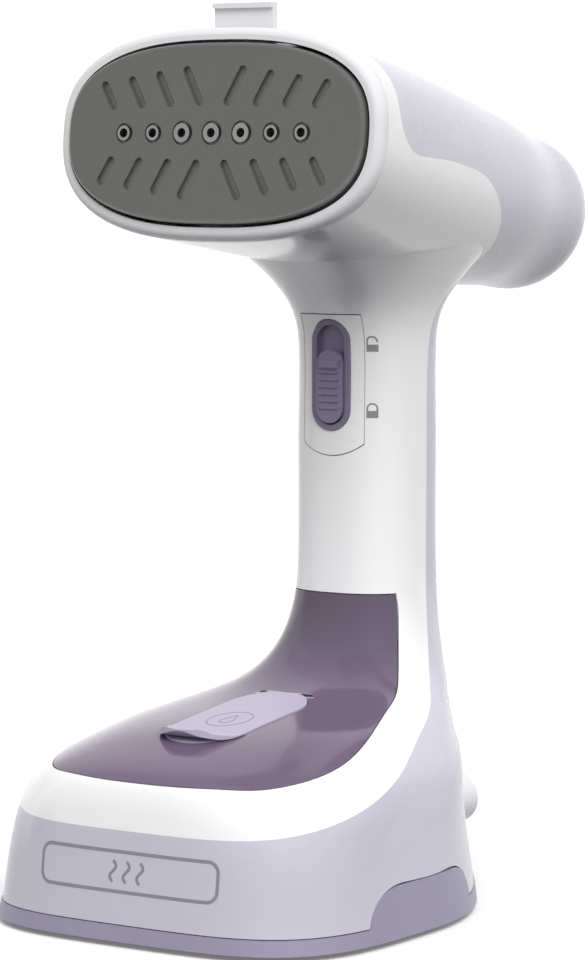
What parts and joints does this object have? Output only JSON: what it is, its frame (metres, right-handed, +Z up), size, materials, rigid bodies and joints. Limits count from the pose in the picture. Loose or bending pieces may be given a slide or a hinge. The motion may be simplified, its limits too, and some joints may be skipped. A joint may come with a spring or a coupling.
{
  "type": "garment steamer",
  "caption": "Free-standing garment steamer with a broad water-tank base, upright handle, oval steam head, trigger with slide lock, fill flap and hook.",
  "frame": {"origin": "on the surface that the steamer stands on, under the middle of its overall length", "axes": "+Z up, the steam plate faces -Y, +X is the object's left-right axis, symmetry plane X = 0"},
  "size_m": [0.1284, 0.2365, 0.2711],
  "materials": {
    "white_shell": "glossy",
    "lavender_shell": "glossy",
    "smoky_tank": "glossy, translucent look",
    "plum_plastic": "satin",
    "pale_flap": "soft matt",
    "dark_rubber": "matt",
    "dark_lock": "satin",
    "plate_grey": "coated",
    "bezel_white": "glossy",
    "cast_alu": "as cast",
    "steel": "plain",
    "brass_fit": "plain",
    "board_green": "laminate",
    "black_part": "moulded",
    "clear_tube": "silicone",
    "mica": "sheet"
  },
  "bodies": {
    "housing": {"front_shell": "white_shell", "rear_shell": "lavender_shell", "base_plate": "plum_plastic", "base_screws": "steel", "board_screws": "steel", "water_tank": "smoky_tank", "tank_seal": "dark_rubber", "tank_filter": "clear_tube", "flap_pin": "steel", "plate_bezel": "bezel_white", "steam_plate": "plate_grey", "steam_nozzles": "plate_grey", "plate_gasket": "dark_rubber", "heating_element": "steel", "boiler": "cast_alu", "boiler_cover": "cast_alu", "boiler_screws": "steel", "heat_shield": "mica", "check_valve": "brass_fit", "steam_hose": "clear_tube", "intake_tube": "clear_tube", "wire_harness": "black_part", "trigger_pin": "steel", "trigger_spring": "steel", "hook_pin": "steel", "rubber_feet": "dark_rubber", "control_board": "board_green", "board_components": "black_part", "pump": "steel", "pump_mounts": "dark_rubber", "micro_switch": "black_part", "switch_bracket": "black_part", "thermostat": "steel", "thermal_fuse": "steel", "cord_gland": "bezel_white"},
    "trigger": {"trigger": "white_shell", "lock_bezel": "dark_lock"},
    "lock_slider": {"lock_slider": "dark_lock"},
    "fill_flap": {"fill_flap": "pale_flap", "fill_plug": "pale_flap"},
    "hook": {"hook": "bezel_white"}
  },
  "joints": [
    {"name": "trigger_press", "type": "hinge", "parent": "housing", "child": "trigger", "pos_m": [0, -0.00225, 0.1733], "axis": [1, 0, 0], "range_deg": [0, 3.5], "stiffness_Nm_per_rad": 0.6, "springref_deg": -2.86},
    {"name": "lock_slide", "type": "slide", "parent": "trigger", "child": "lock_slider", "axis": [0, 0, 1], "range_m": [0, 0.0072]},
    {"name": "flap_open", "type": "hinge", "parent": "housing", "child": "fill_flap", "pos_m": [0, -0.03345, 0.06253], "axis": [-1, 0, 0], "range_deg": [0, 100]},
    {"name": "hook_fold", "type": "hinge", "parent": "housing", "child": "hook", "pos_m": [0, -0.05375, 0.261], "axis": [-1, 0, 0], "range_deg": [0, 78]}
  ]
}
